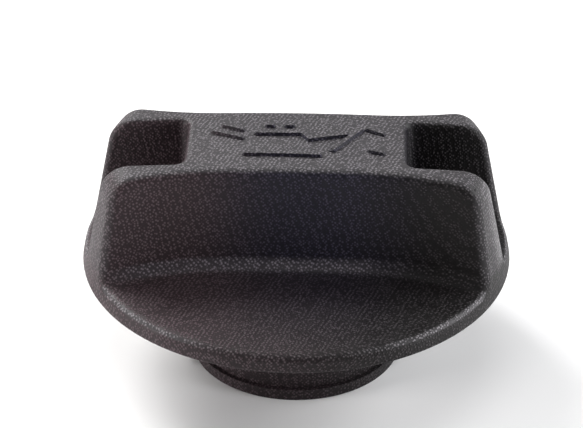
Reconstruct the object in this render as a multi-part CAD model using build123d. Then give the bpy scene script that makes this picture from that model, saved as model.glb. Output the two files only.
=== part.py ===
from build123d import *
import math
import os

# Engine oil filler cap. Millimetres, +Z up, grip along X.
# The origin is the middle of the neck's open end, on which the cap stands.

# Flange
flange_diameter = 70.0
rim_height = 2.8
rim_lower_round = 0.4
dome_rise = 1.5
flange_wall = 2.5
skirt_wall = 2.4

# Neck below the flange
neck_reach = 17.5
neck_diameter = 33.0
bore_diameter = 28.6
collar_diameter = 34.6
collar_height = 2.0
collar_round = 0.25

# Grip: two fins joined by a box in the middle, with an open finger slot at each end
grip_rise = 21.3
grip_crown_radius = 450.0
grip_corner_round = 5.0
side_draft = 10.0
waist_depth = 19.8
waist_straight = 24.0
flare_radius = 48.0
face_draft = 4.5
land_length = 35.2
slot_width = 13.9
slot_draft = 2.0
slot_corner_round = 1.8
outer_edge_round = 1.5
slot_edge_round = 1.0
foot_round = 2.5
slot_foot_round = 0.8

# Hollow core of the grip, open to the neck
core_side_wall = 2.6
core_ledge = 0.8
core_top_wall = 2.8
core_round = 1.5

# Bayonet lugs on the neck, above the collar
lug_count = 2
lug_diameter = 39.6
lug_angle = 34.0
lug_height = 2.8
lug_ramp = 1.2
lug_edge_round = 0.8
stop_diameter = 37.2
stop_angle = 6.0
stop_height = 7.0

# Sealing ring under the flange
ring_outer_diameter = 46.0
ring_height = 3.0
ring_clearance = 0.1
ring_edge_round = 0.5
bead_radius = 0.8
seat_wall = 1.6
seat_wall_height = 1.4

# Index mark: a shallow oval pit on the rim, in the mouth of one slot
mark_length = 3.0
mark_width = 1.0
mark_depth = 0.9
mark_inset = 2.1
mark_angle = 186.2

# Heights and radii that follow from the sizes above
rim_z = neck_reach
grip_top_z = rim_z + grip_rise
flange_radius = flange_diameter / 2
neck_radius = neck_diameter / 2
bore_radius = bore_diameter / 2
dome_edge_z = rim_z + rim_height
dome_top_z = dome_edge_z + dome_rise
dome_radius = (flange_radius**2 + dome_rise**2) / (2 * dome_rise)
skirt_inner_radius = flange_radius - skirt_wall
seat_outer_radius = ring_outer_diameter / 2 + ring_clearance
seat_wall_radius = seat_outer_radius + seat_wall

# Modelling values: how far forms run past each other, and what counts as touching and as an edge
overlap = 0.4
margin = 3.0
reach = flange_radius + margin
touch = 0.001
crease_angle = 15.0
on_base = (Align.CENTER, Align.CENTER, Align.MIN)


def dome_z(radius):
    """Height of the flange's domed top at a radius."""
    return dome_top_z - dome_radius + math.sqrt(dome_radius**2 - radius**2)


seat_z = dome_z(seat_outer_radius) - flange_wall


def turned(*points):
    """Solid of revolution from corner points given as radius and height."""
    return revolve(Plane.XZ * make_face(Polyline(*points, close=True)), Axis.Z)


def dome():
    """Block with a domed top, running past the rim."""
    ball = Pos(0, 0, dome_top_z - dome_radius) * Rot(Y=90) * Sphere(dome_radius)
    return ball & Box(2 * reach, 2 * reach, dome_top_z, align=on_base)


def waisted_bar(top_depth, base_z, top_z):
    """Drafted bar along X, straight in the middle and flared towards both ends."""
    spread = (top_z - base_z) * math.tan(math.radians(face_draft))
    straight = waist_straight / 2
    radius = flare_radius - spread
    near = top_depth / 2 + spread
    length = reach + spread
    far = near + radius - math.sqrt(radius**2 - (length - straight) ** 2)
    edges = [
        Line((length, -far), (length, far)),
        Line((-length, -far), (-length, far)),
    ]
    for side in (-1, 1):
        edges.append(Line((-straight, side * near), (straight, side * near)))
        for end in (-1, 1):
            waist = (end * straight, side * near)
            tip = (end * length, side * far)
            edges.append(TangentArc(waist, tip, tangent=(end, 0)))
    plan = Plane.XY.offset(base_z) * make_face(edges)
    return extrude(plan, amount=top_z - base_z, taper=face_draft)


def outer_envelope():
    """Turned form that bounds rim and fins: one conical side, rounded shoulder, slight crown."""
    shoulder_radius = flange_radius - grip_rise * math.tan(math.radians(side_draft))
    drop = grip_crown_radius - math.sqrt(grip_crown_radius**2 - shoulder_radius**2)
    shoulder = (shoulder_radius, grip_top_z - drop)
    outline = [
        Polyline((0, grip_top_z), (0, rim_z), (flange_radius, rim_z), shoulder),
        TangentArc((0, grip_top_z), shoulder, tangent=(1, 0)),
    ]
    profile = make_face(outline)
    corner = profile.vertices().sort_by_distance((*shoulder, 0))[0]
    profile = fillet(corner, grip_corner_round)
    return revolve(Plane.YZ * profile, Axis.Z)


def finger_slot():
    """Cutter for the open slot at the +X end, narrowing downwards."""
    length = reach + grip_rise - land_length / 2
    plan = Pos(land_length / 2 + length / 2, 0) * Rectangle(length, slot_width)
    plan = fillet(plan.vertices().sort_by(Axis.X)[:2], slot_corner_round)
    cutter = extrude(plan, amount=grip_rise, taper=slot_draft)
    return Pos(0, 0, grip_top_z) * Rot(X=180) * cutter


def creases(shape, low_z, high_z):
    """Edges between two heights where faces meet at an angle, leaving smooth seams out."""
    found = []
    faces = shape.faces()
    for edge in shape.edges():
        middle = edge @ 0.5
        if not low_z < middle.Z < high_z:
            continue
        normals = [face.normal_at(middle) for face in faces if face.distance_to(middle) < touch]
        if len(normals) == 2 and normals[0].get_angle(normals[1]) > crease_angle:
            found.append(edge)
    return found


def on_dome(point):
    """Whether a point lies on the domed top, inside the block's own sides."""
    inside = max(abs(point.X), abs(point.Y)) < reach - touch
    return inside and abs(point.Z - dome_z(math.hypot(point.X, point.Y))) < touch


def beside_grip(edge):
    """Whether an edge lies on the outside of the fins, not in a slot."""
    return abs((edge @ 0.5).Y) > (slot_width + waist_depth) / 4


def upper_form():
    """Flange and H-shaped grip: the foot is blended first, then the outside is turned and rounded."""
    slot = finger_slot()
    block = Box(2 * reach, 2 * reach, grip_top_z, align=on_base)
    bar = waisted_bar(waist_depth, rim_z, grip_top_z) & block
    form = dome() + (bar - slot - Rot(Z=180) * slot)
    foot = [edge for edge in creases(form, rim_z, dome_top_z) if on_dome(edge @ 0.5)]
    form = fillet([edge for edge in foot if beside_grip(edge)], foot_round)
    foot = [edge for edge in creases(form, rim_z, dome_top_z) if on_dome(edge @ 0.5)]
    form = fillet(foot, slot_foot_round)
    form = form & outer_envelope()
    rim_edges = creases(form, rim_z + touch, grip_top_z + touch)
    form = fillet([edge for edge in rim_edges if beside_grip(edge)], outer_edge_round)
    form = fillet(creases(form, rim_z + touch, grip_top_z + touch), slot_edge_round)
    return fillet(creases(form, rim_z - touch, rim_z + touch), rim_lower_round)


def hollow():
    """Cutter for the neck's bore and the drafted core inside the grip."""
    foot_depth = waist_depth + 2 * (grip_top_z - seat_z) * math.tan(math.radians(face_draft))
    core_height = grip_top_z - core_top_wall - seat_z
    plan = Circle(bore_radius - core_ledge) & Rectangle(bore_diameter, foot_depth - 2 * core_side_wall)
    plan = fillet(plan.vertices(), core_round)
    core = extrude(plan, amount=core_height, taper=face_draft)
    core = fillet(core.faces().sort_by(Axis.Z)[-1].edges(), core_round)
    return Cylinder(bore_radius, seat_z, align=on_base) + Pos(0, 0, seat_z) * core


def neck():
    """Neck with its end collar, run up into the flange."""
    collar_radius = collar_diameter / 2
    tube = turned(
        (0, 0),
        (collar_radius, 0),
        (collar_radius, collar_height),
        (neck_radius, collar_height),
        (neck_radius, seat_z + overlap),
        (0, seat_z + overlap),
    )
    return fillet(tube.edges().group_by(Axis.Z)[0], collar_round)


def neck_sector(diameter, height, angle, start_angle):
    """Sector of a ring round the neck, standing on the collar."""
    base_radius = neck_radius - overlap
    section = Rectangle(diameter / 2 - base_radius, height, align=(Align.MIN, Align.MIN))
    profile = Plane.XZ * Pos(base_radius, collar_height) * section
    return Rot(Z=start_angle) * revolve(profile, Axis.Z, angle)


def bayonet_lug():
    """Lug at +X with a ramped top, and the stop at its high end."""
    lug_top_z = collar_height + lug_height + lug_ramp
    lug = neck_sector(lug_diameter, lug_height + lug_ramp, lug_angle, -lug_angle / 2)
    corners = lug.edges().filter_by(Axis.Z).sort_by_distance((0, 0, 0))[-2:]
    lug = fillet(corners, lug_edge_round)
    half_length = lug_diameter / 2 * math.sin(math.radians(lug_angle / 2))
    slope = math.degrees(math.atan(lug_ramp / 2 / half_length))
    ramp = Plane.XY.offset(lug_top_z - lug_ramp / 2).rotated((slope, 0, 0))
    lug = split(lug, ramp, keep=Keep.BOTTOM)
    return lug + neck_sector(stop_diameter, stop_height, stop_angle, lug_angle / 2 - stop_angle)


def index_mark():
    """Cutter for the oval pit on the rim."""
    radius = flange_radius - mark_inset
    floor_z = dome_z(radius) - mark_depth
    oval = extrude(SlotOverall(mark_length, mark_width, rotation=90), amount=mark_depth + overlap)
    return Rot(Z=mark_angle) * Pos(radius, 0, floor_z) * oval


def cap_body():
    """The whole moulding."""
    recess_depth = seat_z - rim_z
    recess = Pos(0, 0, rim_z) * Cylinder(skirt_inner_radius, recess_depth, align=on_base)
    seat_low_z = seat_z - seat_wall_height
    seat_ring = turned(
        (seat_outer_radius, seat_low_z),
        (seat_wall_radius, seat_low_z),
        (seat_wall_radius, seat_z + overlap),
        (seat_outer_radius, seat_z + overlap),
    )
    body = upper_form() - recess + seat_ring + neck()
    lug = bayonet_lug()
    for index in range(lug_count):
        body += Rot(Z=360 * index / lug_count) * lug
    return body - hollow() - index_mark()


def sealing_ring():
    """Rubber ring with a round bead on its sealing side."""
    inner_radius = neck_radius + ring_clearance
    outer_radius = ring_outer_diameter / 2
    bead_at = (inner_radius + outer_radius) / 2
    low_z = seat_z - ring_height
    section = Pos(bead_at, seat_z - ring_height / 2) * Rectangle(outer_radius - inner_radius, ring_height)
    lower = section.vertices().sort_by(Axis.Y)[:2]
    section = fillet(lower, ring_edge_round)
    section += Pos(bead_at, low_z) * Circle(bead_radius)
    return revolve(Plane.XZ * section, Axis.Z)


os.makedirs("parts", exist_ok=True)
for node, piece in (("cap_body", cap_body()), ("sealing_ring", sealing_ring())):
    export_step(piece, f"parts/{node}.step")
    print(node, round(piece.volume), piece.is_valid, len(piece.solids()))
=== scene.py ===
import math

import bmesh
import bpy
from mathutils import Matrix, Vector
from mathutils.bvhtree import BVHTree


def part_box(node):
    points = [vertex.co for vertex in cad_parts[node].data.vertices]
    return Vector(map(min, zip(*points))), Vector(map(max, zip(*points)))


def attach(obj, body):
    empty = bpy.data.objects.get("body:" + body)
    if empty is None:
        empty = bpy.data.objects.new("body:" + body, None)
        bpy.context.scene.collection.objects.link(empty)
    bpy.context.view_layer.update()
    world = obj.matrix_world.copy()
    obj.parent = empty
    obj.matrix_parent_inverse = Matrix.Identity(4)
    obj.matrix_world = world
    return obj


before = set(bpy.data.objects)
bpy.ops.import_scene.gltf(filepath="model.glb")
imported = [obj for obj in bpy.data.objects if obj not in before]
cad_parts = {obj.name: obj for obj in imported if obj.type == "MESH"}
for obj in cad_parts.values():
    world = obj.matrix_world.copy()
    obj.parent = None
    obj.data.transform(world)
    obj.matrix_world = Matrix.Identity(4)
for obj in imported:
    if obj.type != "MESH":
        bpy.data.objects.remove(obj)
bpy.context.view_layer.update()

# Metres, in the frame of the solids: +Z up along the cap's axis, +X along the grip.
MM = 0.001

# Image frame and the view that the photograph was taken from, in pixels, degrees and metres
image_width_px = 583
image_height_px = 428
view_elevation = 32.27
view_azimuth = 1.58
view_distance = 439 * MM
focal_length_px = 2673
sensor_width_mm = 36.0
aim_point = Vector((0, 0, 17.5 * MM))
aim_point_px = (296.4, 252.4)
clip_near = 0.01
clip_far = 50

# Studio lights: azimuth and elevation in degrees, width and height in metres, watts, colour
lit_point = Vector((0, 0, 30 * MM))
light_distance = 1.0
studio_lights = {
    "back_softbox": (180, 28, (1.2, 0.35), 1.8, (1, 0.99, 1)),
    "left_rear_softbox": (-135, 40, (0.5, 0.5), 12.8, (1, 0.99, 0.98)),
    "left_low_softbox": (-77, 12, (0.4, 0.3), 6.2, (1, 0.98, 0.97)),
    "right_softbox": (112, 26, (0.5, 0.4), 8.0, (0.98, 0.99, 1)),
    "right_low_softbox": (74, 14, (0.4, 0.3), 6.5, (0.99, 0.98, 1)),
    "overhead_softbox": (0, 88, (0.6, 0.6), 2.2, (1, 1, 1)),
}

# Floor and surrounding
floor_half_width = 3.0
floor_colour = (0.93, 0.93, 0.93, 1)
floor_roughness = 0.9
surrounding_colour = (1, 1, 1, 1)
surrounding_strength = 0.06

# Grain of the plastic: moulded pebbles and a finer unevenness
grain_size = 0.45 * MM
grain_randomness = 0.56
grain_turn = (math.radians(20), math.radians(45), math.radians(30))
pebble_edge = (0.12, 0.6)
fine_size = 0.18 * MM
fine_share = 0.3
grain_strength = 0.9
grain_depth = 0.08 * MM

# Patches and clouds in the plastic
patch_size = 5 * MM
patch_detail = 5.0
patch_roughness = 0.6
cloud_size = 18 * MM

# Ramps on the pebbles and patches, most of them for painted light and shade: from, to, and what they give
# there
# Painted light and shade on the pebbles: crests lighter as painted highlights, valleys darker as painted
# shade
pebble_light_and_shade = (0.0, 1.0, 0.4, 1.9)
crest_highlight_fade = (0.45, 1.0, 0.0, 0.5)
cloud_shading = (0.2, 0.8, 0.85, 1.15)
top_and_end_highlight_patches = (0.2, 0.75, 0.75, 1.0)
rim_highlight_patches = (0.3, 0.65, 0.6, 1.0)
foot_highlight_patches = (0.25, 0.7, 0.4, 0.85)
plastic_roughness = (0.25, 0.8, 0.46, 0.62)

# Colours of the plastic, most of them painted light and shade, and how it reflects
# Reddish and lighter at the left as painted light, going to darker at the right as painted shade
reddish_painted_light_colour = (0.057, 0.036, 0.042, 1)
painted_shade_colour = (0.006, 0.004, 0.0045, 1)
cool_colour = (0.014, 0.0122, 0.027, 1)
# Colour of the painted highlights on the pebble crests
crest_highlight_colour = (0.062, 0.055, 0.061, 1)
# Colour of the painted highlights on the grip's top and fin ends
top_and_end_highlight_colour = (0.086, 0.080, 0.087, 1)
# Colour of the painted highlights on the rim and the slot edge
edge_highlight_colour = (0.13, 0.122, 0.13, 1)
# Colour of the painted highlight along the foot fillet
foot_highlight_colour = (0.125, 0.112, 0.130, 1)
plastic_ior = 1.5
plastic_specular = 0.25
# Gloss added where the rim and slot edge carry painted highlights
highlight_gloss = 0.14

# Where the tints lie, with painted light at the left fading to painted shade at the right: spans along X,
# and a rise in height
painted_light_to_shade_fade = (-24 * MM, 20 * MM)
cool_span = (-20 * MM, 0.0, 6 * MM, 24 * MM)
cool_rise = (20 * MM, 23 * MM)

# Where the grip's top gets a painted highlight, by height and by how far the surface faces up
top_highlight_rise = (30 * MM, 37 * MM)
top_highlight_facing = (0.6, 0.985)

# Where the fin ends get a painted highlight: the conical side's radius carried down to Z = 0, and height
side_draft = math.radians(10)
end_highlight_reach = (36.6 * MM, 37.6 * MM)
end_highlight_rise = (20.6 * MM, 23 * MM)
end_highlight_share = 0.45

# Where the front fin's end gets a painted highlight along its edge beside the slot: a span along Y, more at
# the right
slot_highlight_span = (-12 * MM, -7.4 * MM, -6.6 * MM, -6.2 * MM)
slot_highlight_fade = (0.0, 20 * MM, 0.1, 0.9)

# Where the rim's rounding gets a painted highlight and more gloss, by height, by facing and by distance
# from the middle
rim_highlight_span = (18.8 * MM, 19.4 * MM, 20.3 * MM, 20.8 * MM)
rim_highlight_facing = (0.45, 0.66, 0.82, 0.95)
rim_highlight_fade = (8 * MM, 22 * MM, 0.1, 0.9)

# Where the grip's foot fillet gets a painted highlight, by height, by facing and along X
foot_highlight_span = (20.6 * MM, 21.4 * MM, 22.6 * MM, 24.2 * MM)
foot_highlight_facing = (0.08, 0.3, 0.8, 0.98)
foot_highlight_across = (-34 * MM, -16 * MM, 2 * MM, 22 * MM)

# Rubber of the sealing ring, with a faint bloom
rubber_colour = (0.014, 0.014, 0.015, 1)
rubber_roughness = (0.3, 0.8, 0.62, 0.85)
bloom_colour = (0.032, 0.032, 0.033, 1)
bloom_size = 6 * MM
bloom_detail = 4.0
bloom_fade = (0.35, 0.75)
skin_size = 0.3 * MM
skin_strength = 0.25
skin_depth = 0.03 * MM

# Raised symbol on the grip's top: an oil can with a drop, as strokes in millimetres from the cap's axis
stroke_foot_width = 1.15 * MM
stroke_top_width = 0.7 * MM
stroke_height = 0.5 * MM
stroke_sunk = 0.12 * MM
stroke_step = 0.4 * MM
stroke_run_out = 0.35
stroke_edge_round = 0.14 * MM
stroke_edge_segments = 2
mitre_limit = 0.5
ray_start_height = 1 * MM
symbol_strokes = {
    "handle_upper": [(-12.1, 4.45), (-8.4, 2.8)],
    "handle_lower": [(-13.7, 2.5), (-8.4, 0.2)],
    "lid_left": [(-5.2, 4.3), (-3.5, 4.3)],
    "lid_right": [(-2.1, 4.3), (-0.3, 4.3)],
    "body_top": [(-6.9, 1.8), (1.0, 1.8), (2.1, 0.0), (8.4, 1.8)],
    "body_base": [(-8.5, -4.6), (4.2, -4.95)],
    "spout": [(5.6, -3.65), (10.6, 3.8)],
    "drop_upper": [(11.1, 3.8), (14.2, 2.15)],
    "drop_lower": [(11.4, -3.0), (14.2, -3.95)],
}


class Nodes:
    """Short way to build one material's node tree."""

    def __init__(self, name):
        self.material = bpy.data.materials.new(name)
        self.material.use_nodes = True
        self.tree = self.material.node_tree
        self.shader = self.tree.nodes["Principled BSDF"]

    def add(self, kind, settings=None, **inputs):
        """Add a node with its settings and inputs."""
        node = self.tree.nodes.new(kind)
        for key, value in (settings or {}).items():
            setattr(node, key, value)
        self.fill(node, **inputs)
        return node

    def fill(self, node, **inputs):
        """Set a node's inputs by name, with underscores for spaces."""
        for key, value in inputs.items():
            self.set(node.inputs[key.replace("_", " ")], value)

    def set(self, socket, value):
        """Give a socket a value, or link it to an output."""
        if isinstance(value, bpy.types.NodeSocket):
            self.tree.links.new(value, socket)
        else:
            socket.default_value = value

    def place(self):
        """Place on the object, in its own frame."""
        return self.add("ShaderNodeTexCoord").outputs["Object"]

    def parts(self, vector):
        """X, Y and Z of a vector."""
        return self.add("ShaderNodeSeparateXYZ", Vector=vector).outputs

    def math(self, operation, first, second=0.0):
        """Result of one operation on one or two values."""
        node = self.add("ShaderNodeMath", {"operation": operation})
        self.set(node.inputs[0], first)
        self.set(node.inputs[1], second)
        return node.outputs[0]

    def product(self, first, *others):
        """All values multiplied."""
        result = first
        for other in others:
            result = self.math("MULTIPLY", result, other)
        return result

    def ramp(self, value, low, high, out_low=0.0, out_high=1.0):
        """Smooth step from one value to another over a range."""
        node = self.add("ShaderNodeMapRange", {"interpolation_type": "SMOOTHSTEP"})
        names = ("Value", "From Min", "From Max", "To Min", "To Max")
        for name, entry in zip(names, (value, low, high, out_low, out_high)):
            self.set(node.inputs[name], entry)
        return node.outputs["Result"]

    def band(self, value, start, full, fade, end):
        """One between two values, fading to nothing outside them."""
        return self.product(self.ramp(value, start, full), self.ramp(value, fade, end, 1.0, 0.0))

    def noise(self, place, size, detail=3.0, roughness=0.5):
        """Noise whose features are about the given size in metres."""
        node = self.add("ShaderNodeTexNoise", Vector=place, Scale=1 / size)
        self.fill(node, Detail=detail, Roughness=roughness)
        return node.outputs["Fac"]

    def mix(self, share, first, second, blend="MIX"):
        """Colour between two colours, or one shaded by the other."""
        node = self.add("ShaderNodeMix", {"data_type": "RGBA", "blend_type": blend})
        sockets = {socket.identifier: socket for socket in node.inputs}
        self.set(sockets["Factor_Float"], share)
        self.set(sockets["A_Color"], first)
        self.set(sockets["B_Color"], second)
        return {socket.identifier: socket for socket in node.outputs}["Result_Color"]

    def shaded(self, colour, shade):
        """Colour made darker or lighter by a value."""
        return self.mix(1.0, colour, shade, "MULTIPLY")


def pebbled_grain(look, place):
    """Moulded pebbles: one on their crests, nothing in the valleys between them."""
    turned = look.add("ShaderNodeMapping", Vector=place, Rotation=grain_turn).outputs["Vector"]
    cells = look.add("ShaderNodeTexVoronoi", {"feature": "F1"}, Vector=turned, Scale=1 / grain_size)
    look.fill(cells, Randomness=grain_randomness)
    return look.ramp(cells.outputs["Distance"], *pebble_edge, 1.0, 0.0)


def tint_with_painted_light(look, across, up):
    """Tint of the plastic: reddish and lighter at the left as painted light, darker at the right as painted
    shade, bluish in the middle of the grip.
    """
    light_to_shade = look.mix(look.ramp(across, *painted_light_to_shade_fade), reddish_painted_light_colour, painted_shade_colour)
    cool = look.product(look.band(across, *cool_span), look.ramp(up, *cool_rise))
    return look.mix(cool, light_to_shade, cool_colour)


def fin_ends(look, across, along, up):
    """Mask of the fins' outer ends, which lie on one conical side."""
    plan = look.add("ShaderNodeCombineXYZ", X=across, Y=along).outputs["Vector"]
    radius = look.add("ShaderNodeVectorMath", {"operation": "LENGTH"}, Vector=plan).outputs["Value"]
    cone_radius = look.math("ADD", radius, look.product(up, math.tan(side_draft)))
    return look.product(look.ramp(cone_radius, *end_highlight_reach), look.ramp(up, *end_highlight_rise))


def cap_plastic():
    """Near-black moulded plastic with a fine pebbled texture and painted light and shade: lighter pebble
    crests, darker valleys, lighter at the left, darker at the right, and painted highlights on the grip's
    top, fin ends, rim, slot edge and foot.
    """
    look = Nodes("cap_plastic")
    place = look.place()
    across, along, up = look.parts(place)
    facing = look.parts(look.add("ShaderNodeNewGeometry").outputs["Normal"])["Z"]
    pebble = pebbled_grain(look, place)
    patch = look.noise(place, patch_size, patch_detail, patch_roughness)
    cloud = look.noise(place, cloud_size)
    # Painted shade in the valleys between pebbles and lighter crests, times a random cloudy tone
    pebble_shade_and_cloud_tone = look.product(look.ramp(pebble, *pebble_light_and_shade), look.ramp(cloud, *cloud_shading))

    top = look.product(look.ramp(up, *top_highlight_rise), look.ramp(facing, *top_highlight_facing))
    fin_end = fin_ends(look, across, along, up)
    # Painted highlights on the grip's top and, weaker, on the fin ends
    top_and_ends = look.math("MAXIMUM", top, look.product(fin_end, end_highlight_share))
    top_and_end_highlight = look.product(top_and_ends, look.ramp(patch, *top_and_end_highlight_patches))

    # Painted highlight along the front fin's end beside the slot
    slot_highlight = look.product(fin_end, look.band(along, *slot_highlight_span), look.ramp(across, *slot_highlight_fade))
    # Painted highlight along the rim's rounding, mostly towards the sides
    rim = look.product(look.band(up, *rim_highlight_span), look.band(facing, *rim_highlight_facing))
    highlight_sideways = look.ramp(look.math("ABSOLUTE", across), *rim_highlight_fade)
    edge_highlights = look.math("MAXIMUM", look.product(rim, highlight_sideways, look.ramp(patch, *rim_highlight_patches)), slot_highlight)

    # Painted highlight along the grip's foot fillet
    foot = look.product(look.band(up, *foot_highlight_span), look.band(facing, *foot_highlight_facing))
    foot_highlight = look.product(foot, look.band(across, *foot_highlight_across), look.ramp(patch, *foot_highlight_patches))

    # Tint with its painted light and shade, times the pebbles' painted shade
    colour = look.shaded(tint_with_painted_light(look, across, up), pebble_shade_and_cloud_tone)
    # Painted highlights on the pebble crests
    colour = look.mix(look.ramp(pebble, *crest_highlight_fade), colour, crest_highlight_colour)
    # Painted highlights laid over the tint: top and fin ends, rim and slot edge, foot fillet
    for share, layer in ((top_and_end_highlight, top_and_end_highlight_colour), (edge_highlights, edge_highlight_colour), (foot_highlight, foot_highlight_colour)):
        colour = look.mix(share, colour, look.shaded(layer, pebble_shade_and_cloud_tone))
    roughness = look.math("SUBTRACT", look.ramp(patch, *plastic_roughness), look.product(edge_highlights, highlight_gloss))
    height = look.math("ADD", pebble, look.product(look.noise(place, fine_size), fine_share))
    bump = look.add("ShaderNodeBump", Height=height, Strength=grain_strength, Distance=grain_depth)
    look.fill(look.shader, Base_Color=colour, Roughness=roughness, Normal=bump.outputs["Normal"])
    look.fill(look.shader, IOR=plastic_ior, Specular_IOR_Level=plastic_specular)
    return look.material


def seal_rubber():
    """Matt black rubber with a faint bloom."""
    look = Nodes("seal_rubber")
    place = look.place()
    bloom = look.noise(place, bloom_size, bloom_detail)
    colour = look.mix(look.ramp(bloom, *bloom_fade), rubber_colour, bloom_colour)
    skin = look.noise(place, skin_size)
    bump = look.add("ShaderNodeBump", Height=skin, Strength=skin_strength, Distance=skin_depth)
    look.fill(look.shader, Base_Color=colour, Roughness=look.ramp(bloom, *rubber_roughness))
    look.fill(look.shader, Normal=bump.outputs["Normal"])
    return look.material


def floor_paper():
    """Pale matt paper."""
    look = Nodes("floor_paper")
    look.fill(look.shader, Base_Color=floor_colour, Roughness=floor_roughness)
    return look.material


def resampled(points, step):
    """Points along a run of straight lines, no further apart than the step, with the corners kept."""
    run = [points[0]]
    for start, end in zip(points, points[1:]):
        count = max(1, math.ceil((end - start).length / step))
        run += [start.lerp(end, (index + 1) / count) for index in range(count)]
    return run


def side_direction(run, index):
    """Mitred sideways direction of a run at one of its points."""
    before = (run[index] - run[max(index - 1, 0)]).normalized()
    after = (run[min(index + 1, len(run) - 1)] - run[index]).normalized()
    along = (before + after).normalized()
    reference = after if index == 0 else before
    mitre = 1 / max(along.dot(reference), mitre_limit)
    return Vector((-along.y, along.x)) * mitre


def raised_stroke(mesh, points, ground):
    """Add one ridge with sloping sides, lying on the surface below it."""
    run = resampled([Vector(point) * MM for point in points], stroke_step)
    profile = [
        (stroke_foot_width / 2, -stroke_sunk),
        (stroke_foot_width / 2, 0.0),
        (stroke_top_width / 2, stroke_height),
        (-stroke_top_width / 2, stroke_height),
        (-stroke_foot_width / 2, 0.0),
        (-stroke_foot_width / 2, -stroke_sunk),
    ]
    rings = []
    for index, point in enumerate(run):
        side = side_direction(run, index)
        share = stroke_run_out if index in (0, len(run) - 1) else 1.0
        ring = []
        for offset, rise in profile:
            spot = point + side * offset * (1 + share) / 2
            ring.append(mesh.verts.new((spot.x, spot.y, ground(spot) + rise * share)))
        rings.append(ring)
    for first, second in zip(rings, rings[1:]):
        for index in range(len(profile)):
            after = (index + 1) % len(profile)
            mesh.faces.new((first[index], first[after], second[after], second[index]))
    mesh.faces.new(list(reversed(rings[0])))
    mesh.faces.new(rings[-1])


def raised_pictogram(material):
    """The raised symbol as one piece, laid on the grip's top."""
    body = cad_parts["cap_body"]
    tree = BVHTree.FromObject(body, bpy.context.evaluated_depsgraph_get())
    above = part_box("cap_body")[1].z + ray_start_height

    def ground(spot):
        return tree.ray_cast(Vector((spot.x, spot.y, above)), Vector((0, 0, -1)))[0].z

    mesh = bmesh.new()
    for points in symbol_strokes.values():
        raised_stroke(mesh, points, ground)
    bmesh.ops.recalc_face_normals(mesh, faces=mesh.faces)
    data = bpy.data.meshes.new("raised_pictogram")
    mesh.to_mesh(data)
    mesh.free()
    piece = bpy.data.objects.new("raised_pictogram", data)
    bpy.context.scene.collection.objects.link(piece)
    bevel = piece.modifiers.new("rounding", "BEVEL")
    bevel.width = stroke_edge_round
    bevel.segments = stroke_edge_segments
    bevel.limit_method = "ANGLE"
    data.materials.append(material)
    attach(piece, "root")


def direction(azimuth, elevation):
    """Unit vector from the cap: azimuth 0 is its front and 90 its right, in degrees."""
    turn = math.radians(azimuth)
    rise = math.radians(elevation)
    return Vector((math.sin(turn) * math.cos(rise), -math.cos(turn) * math.cos(rise), math.sin(rise)))


def soft_light(name, azimuth, elevation, size, power, colour):
    """Rectangular studio light aimed at the cap."""
    data = bpy.data.lights.new(name, "AREA")
    data.shape = "RECTANGLE"
    data.size, data.size_y = size
    data.energy = power
    data.color = colour
    light = bpy.data.objects.new(name, data)
    towards = direction(azimuth, elevation)
    light.location = lit_point + towards * light_distance
    light.rotation_euler = (-towards).to_track_quat("-Z", "Y").to_euler()
    bpy.context.scene.collection.objects.link(light)


def pale_floor():
    """Flat square of paper that the cap stands on."""
    half = floor_half_width
    corners = [(-half, -half, 0), (half, -half, 0), (half, half, 0), (-half, half, 0)]
    mesh = bpy.data.meshes.new("floor")
    mesh.from_pydata(corners, [], [(0, 1, 2, 3)])
    mesh.materials.append(floor_paper())
    floor = bpy.data.objects.new("floor", mesh)
    bpy.context.scene.collection.objects.link(floor)


def studio():
    """Pale floor, soft lights and a dim even surrounding, with colours shown as they are."""
    pale_floor()
    for name, settings in studio_lights.items():
        soft_light(name, *settings)
    world = bpy.data.worlds.new("surrounding")
    world.use_nodes = True
    background = world.node_tree.nodes["Background"]
    background.inputs["Color"].default_value = surrounding_colour
    background.inputs["Strength"].default_value = surrounding_strength
    bpy.context.scene.world = world
    bpy.context.scene.view_settings.view_transform = "Standard"


def photo_camera():
    """Camera at the photograph's place, turned until the aim point falls on its pixel."""
    data = bpy.data.cameras.new("camera")
    data.sensor_width = sensor_width_mm
    data.lens = focal_length_px / image_width_px * sensor_width_mm
    data.clip_start = clip_near
    data.clip_end = clip_far
    camera = bpy.data.objects.new("camera", data)
    back = direction(view_azimuth, view_elevation)
    camera.location = aim_point + back * view_distance
    right = Vector((0, 0, 1)).cross(back).normalized()
    up = back.cross(right)
    per_px = view_distance / focal_length_px
    to_right = (aim_point_px[0] - image_width_px / 2) * per_px
    to_below = (aim_point_px[1] - image_height_px / 2) * per_px
    centre = aim_point - right * to_right + up * to_below
    camera.rotation_euler = (centre - camera.location).to_track_quat("-Z", "Y").to_euler()
    bpy.context.scene.collection.objects.link(camera)
    bpy.context.scene.camera = camera


plastic = cap_plastic()
rubber = seal_rubber()
for node, material in (("cap_body", plastic), ("sealing_ring", rubber)):
    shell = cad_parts[node]
    shell.data.materials.clear()
    shell.data.materials.append(material)
raised_pictogram(plastic)
studio()
photo_camera()
